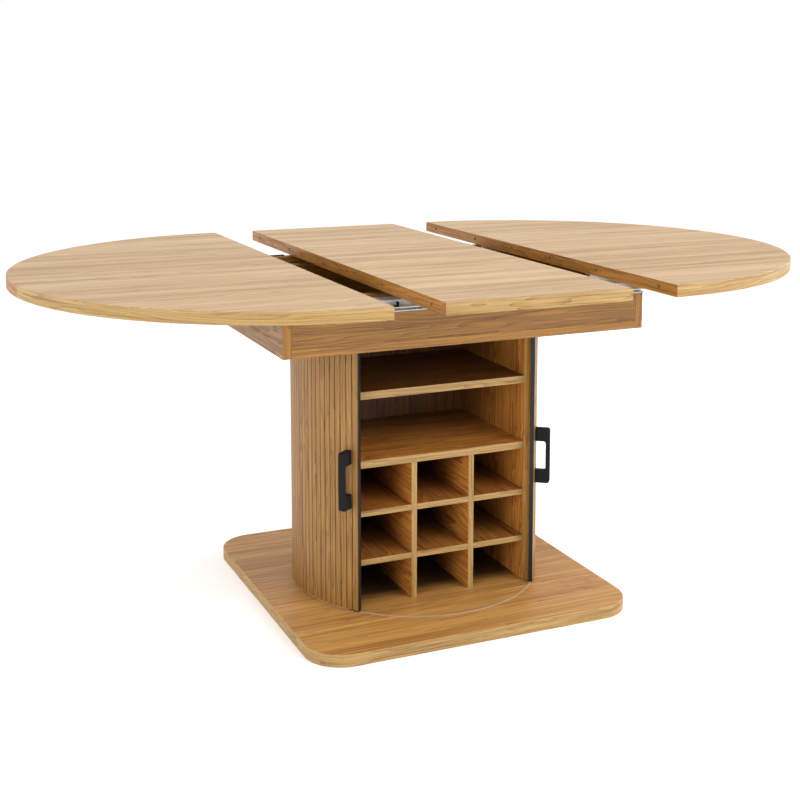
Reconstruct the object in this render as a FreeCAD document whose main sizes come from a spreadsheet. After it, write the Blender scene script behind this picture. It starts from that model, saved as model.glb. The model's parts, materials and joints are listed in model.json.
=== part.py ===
import FreeCAD, Part
import math
import os
import re
import Sketcher

# Round extending table on a square base, with a cabinet in its column.
# Frame: +X is the way the top pulls open, -Y is the cabinet's open front, +Z is up.
# The origin is on the floor, on the axis of the column. Lengths are millimetres, angles degrees.
# The pieces stand as on the open table: halves pulled apart, leaf in place, both doors slid back.

DRIVING_SIZES = [
    ("table_height", 770, "floor to the upper face of the top"),
    ("top_thickness", 25, "halves and leaf"),
    ("top_radius", 592, "each half is a half disc of this radius"),
    ("chord_place", 302, "straight edge of a half from the middle, pulled open"),
    ("leaf_width", 400, "leaf along X"),
    ("seam_gap", 0.6, "gap between the two leaf panels"),
    ("edge_ease", 1.2, "chamfer that eases the edges of tops and base"),
    ("board_ease", 0.6, "chamfer that eases the edges of boards and strips"),
    ("dowel_diameter", 8, "alignment dowels between halves and leaf"),
    ("dowel_hole", 8.6, "mouth that a dowel slips into"),
    ("dowel_seat", 8.2, "hole that a dowel is glued in"),
    ("dowel_reach", 8, "length of a dowel that stands out"),
    ("dowel_root", 20, "length of a dowel in its board"),
    ("dowel_near", 92, "dowels along Y"),
    ("dowel_middle", 291, "dowels along Y"),
    ("dowel_far", 528, "dowels along Y"),
    ("hinge_length", 60, "concealed hinge in the leaf seam, along X"),
    ("hinge_height", 13, "hinge along Z"),
    ("hinge_depth", 15, "mortise of a hinge in one panel"),
    ("hinge_place", 140, "outer hinges along X"),
    ("link_length", 42, "recess for the links of a hinge, along X"),
    ("link_height", 7, "recess along Z"),
    ("link_depth", 10, "recess along Y"),
    ("base_width", 748, "square base"),
    ("base_top", 28, "upper face of the base"),
    ("base_lift", 1, "base above the floor, on its glides"),
    ("base_corner", 82, "plan radius of the base corners"),
    ("glide_width", 40, "square plastic glides under the base"),
    ("glide_seat", 40.4, "width of the recess that takes a glide"),
    ("glide_recess", 4, "depth of that recess"),
    ("glide_place", 290, "corner glides along X and Y"),
    ("track_radius", 279.3, "middle of the ring that guides the doors"),
    ("track_width", 4.2, "flat ring"),
    ("track_thickness", 1.5, "flat ring, fixed on base and apron box"),
    ("housing_depth", 6, "side panels let into the base and the apron box"),
    ("cabinet_width", 440, "carcass outside, along X"),
    ("cabinet_depth", 321, "carcass sides, along Y"),
    ("board_thickness", 18, "sides and apron boards"),
    ("back_thickness", 8, "back panel"),
    ("back_width", 428, "back panel along X"),
    ("shelf_thickness", 17, "two upper shelves"),
    ("upper_shelf_top", 505.5, "height"),
    ("lower_shelf_top", 353.7, "height"),
    ("rack_thickness", 13, "boards of the bottle rack"),
    ("rack_upper_top", 242, "height"),
    ("rack_lower_top", 132.6, "height"),
    ("divider_place", 69.5, "rack dividers along X"),
    ("lap_play", 0.1, "play at each face of a halved joint"),
    ("apron_bottom", 624, "underside of the apron box"),
    ("apron_top", 703, "outer boards of the apron box"),
    ("apron_length", 832, "along X"),
    ("apron_depth", 607, "along Y"),
    ("inner_rail_face", 240, "outer face of an inner rail along Y"),
    ("inner_rail_thickness", 25, "along Y"),
    ("inner_rail_top", 730, "height"),
    ("bearer_play", 0.3, "leaf above its rest blocks"),
    ("bearer_length", 60, "rest block along X"),
    ("bearer_width", 20, "rest block along Y"),
    ("bearer_place", 130, "outer rest blocks along X"),
    ("rest_rail_top", 742, "rail on the rear channel, height"),
    ("rest_pad_place", 251, "pads on that rail along X"),
    ("rest_pad_length", 78, "along X"),
    ("rest_pad_width", 10, "along Y"),
    ("sheet", 2, "wall of the guide channel and the runners"),
    ("channel_length", 840, "along X"),
    ("channel_top", 724, "height"),
    ("channel_step", 284, "upper part of the channel reaches this far along Y"),
    ("channel_lip", 712, "height of the lower lip"),
    ("channel_reach", 304, "lower lip and foot reach this far along Y"),
    ("channel_web", 288, "wall between foot and lip along Y"),
    ("slot_middle", 262, "slot of the channel along Y"),
    ("slot_width", 7, "slot of the channel"),
    ("runner_length", 326, "along X"),
    ("runner_inset", 4, "runner from the straight edge of its half"),
    ("runner_foot", 32, "lower flange along Y"),
    ("runner_head", 40, "upper flange along Y"),
    ("runner_web", 3, "upright of the runner"),
    ("runner_foot_low", 709, "height of the lower flange"),
    ("shoe_width", 37, "glide shoe on the runner, along Y"),
    ("shoe_play", 0.05, "shoe from the foot and the web that it wraps"),
    ("shoe_low", 706, "height"),
    ("shoe_high", 721, "height"),
    ("shoe_length", 40, "along X"),
    ("shoe_pitch", 70, "from one shoe to the next"),
    ("stop_place", 166, "stop hooks along X"),
    ("stop_foot", 10, "foot of a stop hook along X"),
    ("stop_height", 10, "stop hook above the lip of the channel"),
    ("stop_width", 12, "stop hook along Y"),
    ("door_face", 283.7, "flat faces of the slats, from the column's axis"),
    ("slat_pitch", 3, "angle from slat to slat"),
    ("slat_count", 43, "slats of a door"),
    ("slat_width", 14.1, "slat across"),
    ("slat_groove", 1, "chamfer at the outer edges of a slat"),
    ("canvas_face", 276.2, "outer face of the canvas that carries the slats"),
    ("canvas_thickness", 1, "canvas"),
    ("door_lead", 48.1, "leading edge of an open door, from the front"),
    ("strip_angle", 0.5, "angle that an edge strip takes up"),
    ("strip_play", 0.05, "angle between an edge strip and what follows it"),
    ("glue_line", 0.05, "between canvas, slats and handles"),
    ("door_low", 31, "lower end of the slats"),
    ("door_high", 621, "upper end of the slats"),
    ("strip_gap", 0.6, "edge strips from base and apron"),
    ("guide_angle", 5, "angle that a guide shoe covers"),
    ("guide_pitch", 58, "angle from guide to guide"),
    ("guide_leg", 1.4, "legs of a guide shoe beside the ring"),
    ("guide_play", 0.4, "guide shoe from the ring and the base"),
    ("handle_place", 53.1, "handle on the open door, from the front"),
    ("handle_middle", 322, "height"),
    ("handle_length", 128, "along Z"),
    ("handle_reach", 33.2, "out of the door face"),
    ("handle_bar", 9.6, "grip, in the way it stands out"),
    ("handle_width", 14, "along the door face"),
    ("handle_foot", 31, "foot along Z"),
    ("handle_round", 6.5, "outer corner radius"),
    ("finger_round", 5, "inner corner radius"),
]

doc = FreeCAD.newDocument("PedestalTable")
sheet = doc.addObject("Spreadsheet::Sheet", "Sizes")
for row, (alias, size, meaning) in enumerate(DRIVING_SIZES, start=1):
    sheet.set(f"A{row}", meaning)
    sheet.set(f"B{row}", str(size))
    sheet.setAlias(f"B{row}", alias)
doc.recompute()

ALIASES = {alias for alias, size, meaning in DRIVING_SIZES}
LEFT, RIGHT = -1, 1
FRONT, BACK = -1, 1
SIDE_NAMES = {LEFT: "left", RIGHT: "right"}
DEPTH_NAMES = {FRONT: "front", BACK: "back"}
parts = []


def bound(expression):
    """The expression with every alias written as a cell of the sheet."""
    return re.sub(r"[a-z][a-z_]*", lambda word: "Sizes." + word[0] if word[0] in ALIASES else word[0],
                  str(expression))


def value(expression):
    """What the expression comes to with the sheet's sizes."""
    return float(sheet.evalExpression(bound(expression)))


def keep(piece, label):
    """Names a finished sub-part and puts it on the list of exports."""
    piece.Label = label
    parts.append(piece)
    return piece


def new_body(name):
    """An empty body that may hold several like solids."""
    body = doc.addObject("PartDesign::Body", name)
    body.AllowCompound = True
    return body


def origin_feature(body, role):
    """One of the body's own planes or axes."""
    return next(feature for feature in body.Origin.OriginFeatures if feature.Role == role)


def new_sketch(body, plane, offset="0"):
    """A sketch on one of the body's origin planes, moved along the plane's normal."""
    sketch = body.newObject("Sketcher::SketchObject", body.Name + "_sketch")
    sketch.AttachmentSupport = (origin_feature(body, plane), [""])
    sketch.MapMode = "FlatFace"
    sketch.setExpression("AttachmentOffset.Base.z", bound(offset))
    return sketch


def dimension(sketch, kind, where, name, expression):
    """A dimension of the sketch that follows the sheet."""
    index = sketch.addConstraint(Sketcher.Constraint(kind, *where, value(expression)))
    sketch.renameConstraint(index, name)
    sketch.setExpression("Constraints." + name, bound(expression))


def draw_outline(sketch, corners):
    """A closed outline of straight edges through corners given as (across, up) expressions."""
    first = sketch.GeometryCount
    points = [FreeCAD.Vector(value(across), value(up), 0) for across, up in corners]
    count = len(points)
    for number in range(count):
        sketch.addGeometry(Part.LineSegment(points[number], points[(number + 1) % count]))
    for number in range(count):
        following = first + (number + 1) % count
        sketch.addConstraint(Sketcher.Constraint("Coincident", first + number, 2, following, 1))
    for number, (across, up) in enumerate(corners, start=first):
        dimension(sketch, "DistanceX", (-1, 1, number, 1), f"across{number}", across)
        dimension(sketch, "DistanceY", (-1, 1, number, 1), f"up{number}", up)


def draw_rectangle(sketch, low, high):
    """A rectangle between two opposite corners."""
    draw_outline(sketch, [low, (high[0], low[1]), high, (low[0], high[1])])


def draw_circles(sketch, middles, diameter):
    """Like circles around middles given as (across, up) expressions."""
    normal = FreeCAD.Vector(0, 0, 1)
    for across, up in middles:
        middle = FreeCAD.Vector(value(across), value(up), 0)
        number = sketch.addGeometry(Part.Circle(middle, normal, value(diameter) / 2))
        dimension(sketch, "DistanceX", (-1, 1, number, 3), f"across{number}", across)
        dimension(sketch, "DistanceY", (-1, 1, number, 3), f"up{number}", up)
        dimension(sketch, "Diameter", (number,), f"diameter{number}", diameter)


def draw_half_disc(sketch, side, chord, radius):
    """A half disc that bulges to the given side of its chord, which runs along Y."""
    middle = FreeCAD.Vector(value(chord), 0, 0)
    quarter = math.pi / 2
    start = quarter if side == LEFT else -quarter
    circle = Part.Circle(middle, FreeCAD.Vector(0, 0, 1), value(radius))
    arc = sketch.addGeometry(Part.ArcOfCircle(circle, start, start + math.pi))
    arc_start = sketch.Geometry[arc].StartPoint
    arc_end = sketch.Geometry[arc].EndPoint
    line = sketch.addGeometry(Part.LineSegment(arc_end, arc_start))
    sketch.addConstraint(Sketcher.Constraint("Coincident", arc, 2, line, 1))
    sketch.addConstraint(Sketcher.Constraint("Coincident", line, 2, arc, 1))
    sketch.addConstraint(Sketcher.Constraint("PointOnObject", arc, 3, -1))
    dimension(sketch, "DistanceX", (-1, 1, arc, 3), "chord_middle", chord)
    dimension(sketch, "DistanceX", (-1, 1, line, 1), "chord_start", chord)
    dimension(sketch, "DistanceX", (-1, 1, line, 2), "chord_end", chord)
    dimension(sketch, "Radius", (arc,), "radius", radius)


def pad(body, sketch, length, midplane=False, against_normal=False):
    """Raises the sketch along its normal, or against it."""
    feature = body.newObject("PartDesign::Pad", body.Name + "_pad")
    feature.Profile = sketch
    feature.setExpression("Length", bound(length))
    feature.Midplane = midplane
    feature.Reversed = against_normal
    body.Tip = feature
    doc.recompute()
    return feature


def pocket(body, sketch, depth, along_normal=False):
    """Cuts the sketch into the body, against its normal unless told otherwise."""
    before = body.Shape.Volume
    feature = body.newObject("PartDesign::Pocket", body.Name + "_pocket")
    feature.Profile = sketch
    feature.setExpression("Length", bound(depth))
    feature.Reversed = along_normal
    body.Tip = feature
    doc.recompute()
    if body.Shape.Volume > before - 1:
        raise RuntimeError(f"{feature.Label} cuts nothing out of {body.Label}")
    return feature


def revolve(body, sketch, angle="360"):
    """Turns the sketch about the body's Z axis."""
    feature = body.newObject("PartDesign::Revolution", body.Name + "_revolution")
    feature.Profile = sketch
    feature.ReferenceAxis = (origin_feature(body, "Z_Axis"), [""])
    feature.setExpression("Angle", bound(angle))
    body.Tip = feature
    doc.recompute()
    return feature


def dress(body, kind, size, wanted):
    """Puts a Fillet or Chamfer on every edge of the body's tip that the test wants."""
    base = body.Tip
    names = [f"Edge{number}" for number, edge in enumerate(base.Shape.Edges, start=1) if wanted(edge)]
    if not names:
        raise RuntimeError(f"no edge to dress on {body.Name}")
    feature = body.newObject("PartDesign::" + kind, body.Name + "_" + kind.lower())
    feature.Base = (base, names)
    feature.setExpression("Radius" if kind == "Fillet" else "Size", bound(size))
    body.Tip = feature
    doc.recompute()
    return feature


def polar(body, feature, count, pitch):
    """Repeats a feature about the body's Z axis."""
    pattern = body.newObject("PartDesign::PolarPattern", body.Name + "_pattern")
    pattern.Originals = [feature]
    pattern.Axis = (origin_feature(body, "Z_Axis"), [""])
    pattern.setExpression("Angle", bound(f"({pitch}) * ({count} - 1)"))
    pattern.setExpression("Occurrences", bound(count))
    body.Tip = pattern
    doc.recompute()
    return pattern


def turn(piece, angle):
    """Turns a finished piece about Z."""
    piece.setExpression("Placement.Rotation.Angle", bound(angle))


def board(name, low, high, ease=None):
    """A flat board between two opposite corners given as (x, y, z) expressions."""
    body = new_body(name)
    sketch = new_sketch(body, "XY_Plane", low[2])
    draw_rectangle(sketch, low[:2], high[:2])
    pad(body, sketch, f"({high[2]}) - ({low[2]})")
    if ease:
        dress(body, "Chamfer", ease, lambda edge: True)
    return body


def is_upright(edge):
    """True for a straight edge along Z."""
    run = edge.BoundBox
    return run.ZLength > 1 and run.XLength < 0.01 and run.YLength < 0.01


def lies_at(height):
    """A test for edges in the level plane at a height."""
    level = value(height)
    return lambda edge: abs(edge.BoundBox.ZMin - level) < 0.01 and abs(edge.BoundBox.ZMax - level) < 0.01


def draw_blocks(sketch, middles, width, height):
    """Like rectangles around middles given as (across, up) expressions."""
    for across, up in middles:
        draw_rectangle(sketch, (f"{across} - {width} / 2", f"{up} - {height} / 2"),
                       (f"{across} + {width} / 2", f"{up} + {height} / 2"))


def mirrored_pairs(near, far):
    """The four places (+-near, +-far)."""
    return [(f"{across} * ({near})", f"{up} * ({far})") for across in (-1, 1) for up in (-1, 1)]


# Base ----------------------------------------------------------------------------------------

GLIDE_PLACES = mirrored_pairs("glide_place", "glide_place") + [("0", "0")]


def cut_housings(body, height, upward):
    """Grooves for the ends of the side panels, cut down or up from a face of the body."""
    sketch = new_sketch(body, "XY_Plane", height)
    middles = [(f"{side} * (cabinet_width - board_thickness) / 2", "0") for side in (LEFT, RIGHT)]
    draw_blocks(sketch, middles, "board_thickness", "cabinet_depth")
    pocket(body, sketch, "housing_depth", along_normal=upward)


def make_base():
    """Square plate with round corners, and the glides that it stands on."""
    body = new_body("base_plate")
    plan = new_sketch(body, "XY_Plane", "base_lift")
    draw_rectangle(plan, ("-base_width / 2", "-base_width / 2"), ("base_width / 2", "base_width / 2"))
    pad(body, plan, "base_top - base_lift")
    dress(body, "Fillet", "base_corner", is_upright)
    dress(body, "Chamfer", "edge_ease", lies_at("base_top"))
    cut_housings(body, "base_top", upward=False)
    recesses = new_sketch(body, "XY_Plane", "base_lift")
    draw_blocks(recesses, GLIDE_PLACES, "glide_seat", "glide_seat")
    pocket(body, recesses, "glide_recess", along_normal=True)
    keep(body, "base_plate")

    glides = new_body("base_glides")
    plan = new_sketch(glides, "XY_Plane")
    draw_blocks(plan, GLIDE_PLACES, "glide_width", "glide_width")
    pad(glides, plan, "base_lift + glide_recess")
    keep(glides, "base_glides")


def make_track(name, low, high):
    """Flat guide ring about the column's axis."""
    ring = new_body(name)
    section = new_sketch(ring, "XZ_Plane")
    draw_rectangle(section, ("track_radius - track_width / 2", low),
                   ("track_radius + track_width / 2", high))
    revolve(ring, section)
    keep(ring, name)


# Cabinet -------------------------------------------------------------------------------------

def make_side_panel(side):
    """Upright side of the carcass, let into the base below and into the apron box above."""
    name = SIDE_NAMES[side] + "_side_panel"
    inner = f"{side} * (cabinet_width / 2 - board_thickness)"
    outer = f"{side} * cabinet_width / 2"
    keep(board(name, (inner, "-cabinet_depth / 2", "base_top - housing_depth"),
               (outer, "cabinet_depth / 2", "apron_bottom + housing_depth"), "board_ease"), name)


def make_cabinet():
    """Sides, back, two shelves and the three-by-three bottle rack of halved boards."""
    for side in (LEFT, RIGHT):
        make_side_panel(side)
    back = board("back_panel", ("-back_width / 2", "cabinet_depth / 2", "base_top"),
                 ("back_width / 2", "cabinet_depth / 2 + back_thickness", "apron_bottom"))
    keep(back, "back_panel")
    inside = "cabinet_width / 2 - board_thickness"
    for name, top in (("upper_shelf", "upper_shelf_top"), ("lower_shelf", "lower_shelf_top")):
        shelf = board(name, (f"-({inside})", "-cabinet_depth / 2", f"{top} - shelf_thickness"),
                      (inside, "cabinet_depth / 2", top), "board_ease")
        keep(shelf, name)
    for name, top in (("rack_shelf_upper", "rack_upper_top"), ("rack_shelf_lower", "rack_lower_top")):
        shelf = board(name, (f"-({inside})", "-cabinet_depth / 2", f"{top} - rack_thickness"),
                      (inside, "cabinet_depth / 2", top))
        notches = new_sketch(shelf, "XY_Plane", top)
        for side in (LEFT, RIGHT):
            draw_rectangle(notches, (f"{side} * divider_place - rack_thickness / 2 - lap_play",
                                     "-cabinet_depth / 2 - 1"),
                           (f"{side} * divider_place + rack_thickness / 2 + lap_play", "lap_play"))
        pocket(shelf, notches, "rack_thickness")
        keep(shelf, name)
    for side in (LEFT, RIGHT):
        name = "rack_divider_" + SIDE_NAMES[side]
        inner = f"{side} * divider_place - rack_thickness / 2"
        outer = f"{side} * divider_place + rack_thickness / 2"
        divider = board(name, (inner, "-cabinet_depth / 2", "base_top"),
                        (outer, "cabinet_depth / 2", "lower_shelf_top - shelf_thickness"))
        notches = new_sketch(divider, "YZ_Plane", f"{side} * divider_place + rack_thickness")
        for top in ("rack_upper_top", "rack_lower_top"):
            draw_rectangle(notches, ("-lap_play", f"{top} - rack_thickness - lap_play"),
                           ("cabinet_depth / 2 + 1", f"{top} + lap_play"))
        pocket(divider, notches, "2 * rack_thickness")
        keep(divider, name)


# Apron box -----------------------------------------------------------------------------------

def make_apron():
    """Shallow box on the column that carries the slides and stores the folded leaf."""
    end = "apron_length / 2 - board_thickness"
    panel = board("apron_bottom_panel", (f"-({end})", "-apron_depth / 2", "apron_bottom"),
                  (end, "apron_depth / 2", "apron_bottom + board_thickness"), "board_ease")
    cut_housings(panel, "apron_bottom", upward=True)
    keep(panel, "apron_bottom_panel")
    for side in (LEFT, RIGHT):
        name = "apron_side_" + SIDE_NAMES[side]
        keep(board(name, (f"{side} * ({end})", "-apron_depth / 2", "apron_bottom"),
                   (f"{side} * apron_length / 2", "apron_depth / 2", "apron_top"), "board_ease"), name)
    for depth in (FRONT, BACK):
        name = f"apron_{DEPTH_NAMES[depth]}_rail"
        keep(board(name, (f"-({end})", f"{depth} * (apron_depth / 2 - board_thickness)",
                          "apron_bottom + board_thickness"),
                   (end, f"{depth} * apron_depth / 2", "apron_top"), "board_ease"), name)
        name = "inner_rail_" + DEPTH_NAMES[depth]
        keep(board(name, (f"-({end})", f"{depth} * (inner_rail_face - inner_rail_thickness)",
                          "apron_bottom + board_thickness"),
                   (end, f"{depth} * inner_rail_face", "inner_rail_top"), "board_ease"), name)
    inner = "inner_rail_face - inner_rail_thickness"
    for side in (LEFT, RIGHT):
        name = "inner_side_" + SIDE_NAMES[side]
        keep(board(name, (f"{side} * ({end} - board_thickness)", f"-({inner})", "apron_bottom + board_thickness"),
                   (f"{side} * ({end})", inner, "inner_rail_top"), "board_ease"), name)


def make_rest_blocks():
    """Rubber blocks on the inner rails that the leaf lies on."""
    blocks = new_body("leaf_rest_blocks")
    plan = new_sketch(blocks, "XY_Plane", "inner_rail_top")
    middles = [(f"{step} * bearer_place", f"{depth} * (inner_rail_face - inner_rail_thickness / 2)")
               for depth in (FRONT, BACK) for step in (-1, 0, 1)]
    draw_blocks(plan, middles, "bearer_length", "bearer_width")
    pad(blocks, plan, "table_height - top_thickness - bearer_play - inner_rail_top")
    keep(blocks, "leaf_rest_blocks")


def make_rest_rail():
    """Rail along the rear channel with two pads that the straight edges of the halves slide on."""
    end = "apron_length / 2 - board_thickness"
    keep(board("back_rest_rail", (f"-({end})", "apron_depth / 2 - board_thickness", "channel_lip"),
               (end, "apron_depth / 2", "rest_rail_top"), "board_ease"), "back_rest_rail")
    pads = new_body("back_rest_pads")
    plan = new_sketch(pads, "XY_Plane", "rest_rail_top")
    middles = [(f"{side} * rest_pad_place", "(apron_depth - rest_pad_width) / 2 - board_ease")
               for side in (LEFT, RIGHT)]
    draw_blocks(plan, middles, "rest_pad_length", "rest_pad_width")
    pad(pads, plan, "table_height - top_thickness - bearer_play - rest_rail_top")
    keep(pads, "back_rest_pads")


# Slides --------------------------------------------------------------------------------------

def channel_section(depth):
    """Outline of the guide channel across X: foot, slotted upper part, and stepped outer lip."""
    inner = "inner_rail_face"
    return [(f"{depth} * ({across})", up) for across, up in (
        (inner, "apron_top"),
        ("channel_reach", "apron_top"),
        ("channel_reach", "apron_top + sheet"),
        ("channel_web + sheet", "apron_top + sheet"),
        ("channel_web + sheet", "channel_lip - sheet"),
        ("channel_reach", "channel_lip - sheet"),
        ("channel_reach", "channel_lip"),
        ("channel_step", "channel_lip"),
        ("channel_step", "channel_top"),
        ("slot_middle + slot_width / 2", "channel_top"),
        ("slot_middle + slot_width / 2", "channel_top - sheet"),
        ("channel_step - sheet", "channel_top - sheet"),
        ("channel_step - sheet", "channel_lip - sheet"),
        ("channel_web", "channel_lip - sheet"),
        ("channel_web", "apron_top + sheet"),
        (f"{inner} + sheet", "apron_top + sheet"),
        (f"{inner} + sheet", "channel_top - sheet"),
        ("slot_middle - slot_width / 2", "channel_top - sheet"),
        ("slot_middle - slot_width / 2", "channel_top"),
        (inner, "channel_top"))]


def runner_section(depth):
    """Outline of a runner across X: foot in the channel, web in the slot, head under the top."""
    underside = "table_height - top_thickness"
    heights = (("runner_foot", "runner_foot_low", "runner_foot_low + sheet"),
               ("runner_web", "runner_foot_low + sheet", f"{underside} - sheet"),
               ("runner_head", f"{underside} - sheet", underside))
    right = [(f"slot_middle + {width} / 2", up)
             for width, low, high in heights for up in (low, high)]
    left = [(f"slot_middle - {width} / 2", up)
            for width, low, high in reversed(heights) for up in (high, low)]
    return [(f"{depth} * ({across})", up) for across, up in right + left]


def make_channels():
    """Two guide channels that bridge from the apron rails to the inner rails."""
    for depth in (FRONT, BACK):
        name = "guide_channel_" + DEPTH_NAMES[depth]
        channel = new_body(name)
        section = new_sketch(channel, "YZ_Plane")
        draw_outline(section, channel_section(depth))
        pad(channel, section, "channel_length", midplane=True)
        keep(channel, name)


def make_stops():
    """Two bent hooks on the lip of the front channel that end the inward travel."""
    stops = new_body("slide_stops")
    toe = "stop_place + stop_foot"
    crest = "channel_lip + stop_height"
    outline = new_sketch(stops, "XZ_Plane", "(channel_step + channel_reach) / 2")
    for side in (LEFT, RIGHT):
        draw_outline(outline, [(f"{side} * ({across})", up) for across, up in (
            ("stop_place", "channel_lip"), (toe, "channel_lip"), (toe, "channel_lip + sheet"),
            ("stop_place + sheet", "channel_lip + sheet"), ("stop_place + sheet", crest),
            ("stop_place", crest))])
    pad(stops, outline, "stop_width", midplane=True)
    keep(stops, "slide_stops")


def draw_along(body, outline, side, start, length):
    """A bar along X with the given outline, its start counted outwards from the middle."""
    low_end = start if side == RIGHT else f"{start} + {length}"
    section = new_sketch(body, "YZ_Plane", f"{side} * ({low_end})")
    draw_outline(section, outline)
    pad(body, section, length)


def make_runners(side):
    """Steel runners under one half, with the nylon shoes that ride in the channels."""
    name = SIDE_NAMES[side]
    near = "chord_place + runner_inset"
    shoes = new_body(name + "_runner_shoes")
    for depth in (FRONT, BACK):
        label = f"{name}_runner_{DEPTH_NAMES[depth]}"
        runner = new_body(label)
        draw_along(runner, runner_section(depth), side, near, "runner_length")
        keep(runner, label)
        for step in (0, 1):
            draw_along(shoes, shoe_section(depth), side, f"{near} + {step} * shoe_pitch", "shoe_length")
    keep(shoes, name + "_runner_shoes")


def shoe_section(depth):
    """Outline of a shoe across X: a block wrapped around the runner's foot, open above for its web."""
    foot = "(runner_foot / 2 + shoe_play)"
    web = "(runner_web / 2 + shoe_play)"
    low = "runner_foot_low - shoe_play"
    high = "runner_foot_low + sheet + shoe_play"
    half = (("shoe_width / 2", "shoe_low"), ("shoe_width / 2", "shoe_high"), (web, "shoe_high"),
            (web, high), (foot, high), (foot, low))
    right = [(f"slot_middle + {across}", up) for across, up in half]
    left = [(f"slot_middle - {across}", up) for across, up in reversed(half)]
    return [(f"{depth} * ({across})", up) for across, up in right + left]


# Tops ----------------------------------------------------------------------------------------

DOWEL_STEPS = ("dowel_near", "dowel_middle", "dowel_far")
TOP_MIDDLE = "table_height - top_thickness / 2"


def dowel_places(depths):
    """Dowel middles on an edge across X, as (y, z)."""
    return [(f"{depth} * {step}", TOP_MIDDLE) for depth in depths for step in DOWEL_STEPS]


def drill_edge(body, place, depths, diameter, depth, towards_plus):
    """Dowel holes from an edge across X into the board."""
    sketch = new_sketch(body, "YZ_Plane", place)
    draw_circles(sketch, dowel_places(depths), diameter)
    pocket(body, sketch, depth, along_normal=towards_plus)


def make_dowels(name, place, depths):
    """Dowels glued into an edge across X that stand out of it towards +X."""
    dowels = new_body(name)
    section = new_sketch(dowels, "YZ_Plane", f"({place}) - dowel_root")
    draw_circles(section, dowel_places(depths), "dowel_diameter")
    pad(dowels, section, "dowel_root + dowel_reach")
    keep(dowels, name)


def make_half_top(side):
    """Half disc with eased rim, drilled for dowels in its straight edge."""
    name = "half_top_" + SIDE_NAMES[side]
    chord = f"{side} * chord_place"
    half = new_body(name)
    plan = new_sketch(half, "XY_Plane", "table_height - top_thickness")
    draw_half_disc(plan, side, chord, "top_radius")
    pad(half, plan, "top_thickness")
    dress(half, "Chamfer", "edge_ease", lambda edge: edge.BoundBox.XLength > 1 and edge.BoundBox.ZLength < 1)
    bore = "dowel_seat" if side == LEFT else "dowel_hole"
    drill_edge(half, chord, (FRONT, BACK), bore, "dowel_root", towards_plus=side == RIGHT)
    keep(half, name)


def make_leaf_panel(depth):
    """One of the two panels of the leaf, with its dowels and its halves of the seam hinges."""
    word = "front" if depth == FRONT else "rear"
    seam = f"{depth} * seam_gap / 2"
    panel = board(f"leaf_{word}_panel", ("-leaf_width / 2", seam, "table_height - top_thickness"),
                  ("leaf_width / 2", f"{depth} * top_radius", "table_height"))
    rim = value("top_radius")
    dress(panel, "Chamfer", "edge_ease",
          lambda edge: edge.BoundBox.XLength > 1 and abs(abs(edge.BoundBox.YMin) - rim) < 0.01)
    drill_edge(panel, "-leaf_width / 2", (depth,), "dowel_hole", "dowel_root", towards_plus=True)
    drill_edge(panel, "leaf_width / 2", (depth,), "dowel_seat", "dowel_root", towards_plus=False)
    hinge_places = [(f"{step} * hinge_place", TOP_MIDDLE) for step in (-1, 0, 1)]
    mortises = new_sketch(panel, "XZ_Plane", f"-({seam})")
    draw_blocks(mortises, hinge_places, "hinge_length", "hinge_height")
    pocket(panel, mortises, "hinge_depth", along_normal=depth == FRONT)
    keep(panel, f"leaf_{word}_panel")
    make_dowels(f"leaf_{word}_dowels", "leaf_width / 2", (depth,))

    hinges = new_body(f"leaf_{word}_hinges")
    blocks = new_sketch(hinges, "XZ_Plane", f"-({seam})")
    draw_blocks(blocks, hinge_places, "hinge_length", "hinge_height")
    pad(hinges, blocks, "hinge_depth", against_normal=depth == BACK)
    recesses = new_sketch(hinges, "XZ_Plane", f"-({seam})")
    draw_blocks(recesses, hinge_places, "link_length", "link_height")
    pocket(hinges, recesses, "link_depth", along_normal=depth == FRONT)
    keep(hinges, f"leaf_{word}_hinges")


# Doors ---------------------------------------------------------------------------------------
# Every piece of a door is drawn where the door face points to +X and is then turned about Z.
# An angle from the front, where +Y is 180, becomes a turn from +X by taking off 90.

FIRST_SLAT = "door_lead + strip_angle + slat_pitch / 2"
LAST_STRIP = "door_lead + strip_angle + slat_count * slat_pitch"


def door_turn(side, start, span):
    """Turn that brings a piece drawn from +X round by its span to its place on the open door."""
    return f"{start} - 90" if side == RIGHT else f"-({start}) - ({span}) - 90"


def repeat_along_door(body, side, outline):
    """Raises an outline drawn at +X from end to end of the door and repeats it once for each slat."""
    sketch = new_sketch(body, "XY_Plane", "door_low")
    draw_outline(sketch, outline)
    strip = pad(body, sketch, "door_high - door_low")
    polar(body, strip, "slat_count", "slat_pitch")
    turn(body, door_turn(side, FIRST_SLAT, "(slat_count - 1) * slat_pitch"))


def make_slats(side):
    """Row of upright slats, each a flat strip with eased outer edges."""
    slats = new_body(SIDE_NAMES[side] + "_door_slats")
    inner = "canvas_face + glue_line"
    half = "slat_width / 2"
    shoulder = "door_face - slat_groove"
    repeat_along_door(slats, side, [
        (inner, f"-{half}"), (shoulder, f"-{half}"), ("door_face", f"-{half} + slat_groove"),
        ("door_face", f"{half} - slat_groove"), (shoulder, half), (inner, half)])
    keep(slats, SIDE_NAMES[side] + "_door_slats")


def make_canvas(side):
    """Canvas that the slats are glued on, flat behind each slat and bent between the slats."""
    canvas = new_body(SIDE_NAMES[side] + "_door_canvas")
    inner = "canvas_face - canvas_thickness"
    lean = "tan(slat_pitch / 2)"
    repeat_along_door(canvas, side, [
        (inner, f"-({inner}) * {lean}"), ("canvas_face", f"-canvas_face * {lean}"),
        ("canvas_face", f"canvas_face * {lean}"), (inner, f"({inner}) * {lean}")])
    keep(canvas, SIDE_NAMES[side] + "_door_canvas")


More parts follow.
